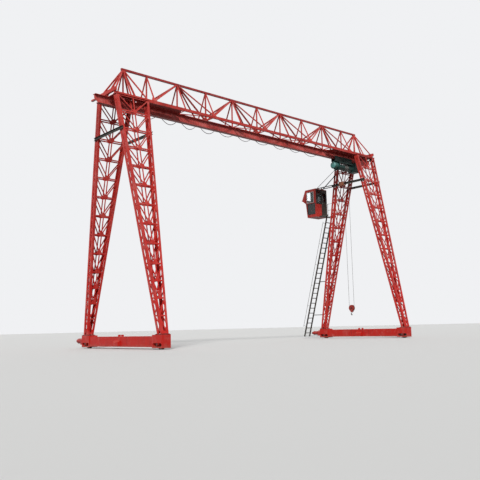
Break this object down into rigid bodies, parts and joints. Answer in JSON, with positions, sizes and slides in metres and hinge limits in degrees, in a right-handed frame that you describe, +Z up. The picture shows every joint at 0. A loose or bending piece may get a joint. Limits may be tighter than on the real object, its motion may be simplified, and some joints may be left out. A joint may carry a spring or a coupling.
{
  "type": "truss gantry crane",
  "caption": "Portal crane with a triangular truss girder on four lattice legs, an underslung rope hoist and a driver's cabin.",
  "frame": {"origin": "on the floor, midway between the two supports along X and midway between the wheel tracks along Y", "axes": "+X along the girder from the left support to the right one, +Y across it towards the cabin, +Z up"},
  "size_m": [23.5, 8.76, 15.1299],
  "materials": {
    "red_paint": "weathered red paint, semi-matt",
    "dark_paint": "dark paint, dusty",
    "orange_paint": "orange-brown paint",
    "drive_paint": "red machine paint, oily",
    "teal_paint": "teal machine paint, weathered",
    "hook_red": "red paint",
    "hook_black": "black paint",
    "wheel_steel": "worn rolled steel",
    "wire_rope": "greased steel wire",
    "cable_sheath": "light grey cable sheath",
    "window_glass": "clear tinted glass"
  },
  "bodies": {
    "portal": {"beam_splices": "red_paint", "bottom_bracing": "red_paint", "cabin_arm": "dark_paint", "cabin_door": "dark_paint", "cabin_floor": "red_paint", "cabin_glass": "window_glass", "cabin_ladder": "dark_paint", "cabin_platform": "dark_paint", "cabin_roof": "red_paint", "cabin_tie_rods": "dark_paint", "cabin_walls": "red_paint", "drive_units": "drive_paint", "end_cross_beams": "red_paint", "far_left_leg_chords": "red_paint", "far_left_leg_fans": "red_paint", "far_left_leg_lacing": "red_paint", "far_right_leg_chords": "red_paint", "far_right_leg_fans": "red_paint", "far_right_leg_lacing": "red_paint", "far_web": "red_paint", "festoon_cable": "cable_sheath", "festoon_rail": "dark_paint", "girder_far_chord": "red_paint", "girder_near_chord": "red_paint", "girder_top_chord": "red_paint", "junction_box": "orange_paint", "ladder_handrail": "dark_paint", "left_carriage_beam": "red_paint", "left_wheel_boxes": "red_paint", "leg_feet": "red_paint", "middle_web": "red_paint", "near_left_leg_chords": "red_paint", "near_left_leg_fans": "red_paint", "near_left_leg_lacing": "red_paint", "near_right_leg_chords": "red_paint", "near_right_leg_fans": "red_paint", "near_right_leg_lacing": "red_paint", "near_web": "red_paint", "platform_railing": "dark_paint", "right_carriage_beam": "red_paint", "right_wheel_boxes": "red_paint", "support_braces": "dark_paint", "support_plates": "red_paint", "track_flanges": "red_paint", "track_web": "red_paint"},
    "near_left_wheel_body": {"near_left_wheel": "wheel_steel"},
    "far_left_wheel_body": {"far_left_wheel": "wheel_steel"},
    "near_right_wheel_body": {"near_right_wheel": "wheel_steel"},
    "far_right_wheel_body": {"far_right_wheel": "wheel_steel"},
    "hoist": {"hoist_trolley": "teal_paint", "trolley_wheels": "wheel_steel", "hoist_drum": "teal_paint", "hoist_frame": "teal_paint", "hoist_motor": "teal_paint", "hoist_gearbox": "teal_paint", "hoist_ropes": "wire_rope"},
    "hook_body": {"hook_block": "hook_red", "hook_sheave": "wheel_steel", "hook": "hook_black"}
  },
  "joints": [
    {"name": "near_left_wheel_spin", "type": "hinge", "parent": "portal", "child": "near_left_wheel_body", "pos_m": [-10, -3.48, 0.25], "axis": [1, 0, 0], "continuous": true},
    {"name": "far_left_wheel_spin", "type": "hinge", "parent": "portal", "child": "far_left_wheel_body", "pos_m": [-10, 3.48, 0.25], "axis": [1, 0, 0], "continuous": true},
    {"name": "near_right_wheel_spin", "type": "hinge", "parent": "portal", "child": "near_right_wheel_body", "pos_m": [10, -3.48, 0.25], "axis": [1, 0, 0], "continuous": true},
    {"name": "far_right_wheel_spin", "type": "hinge", "parent": "portal", "child": "far_right_wheel_body", "pos_m": [10, 3.48, 0.25], "axis": [1, 0, 0], "continuous": true},
    {"name": "hoist_travel", "type": "slide", "parent": "portal", "child": "hoist", "axis": [1, 0, 0], "range_m": [-17.5, 0]},
    {"name": "hook_lift", "type": "slide", "parent": "hoist", "child": "hook_body", "axis": [0, 0, 1], "range_m": [-1.5, 9.4], "deforming": ["hoist_ropes"]}
  ]
}
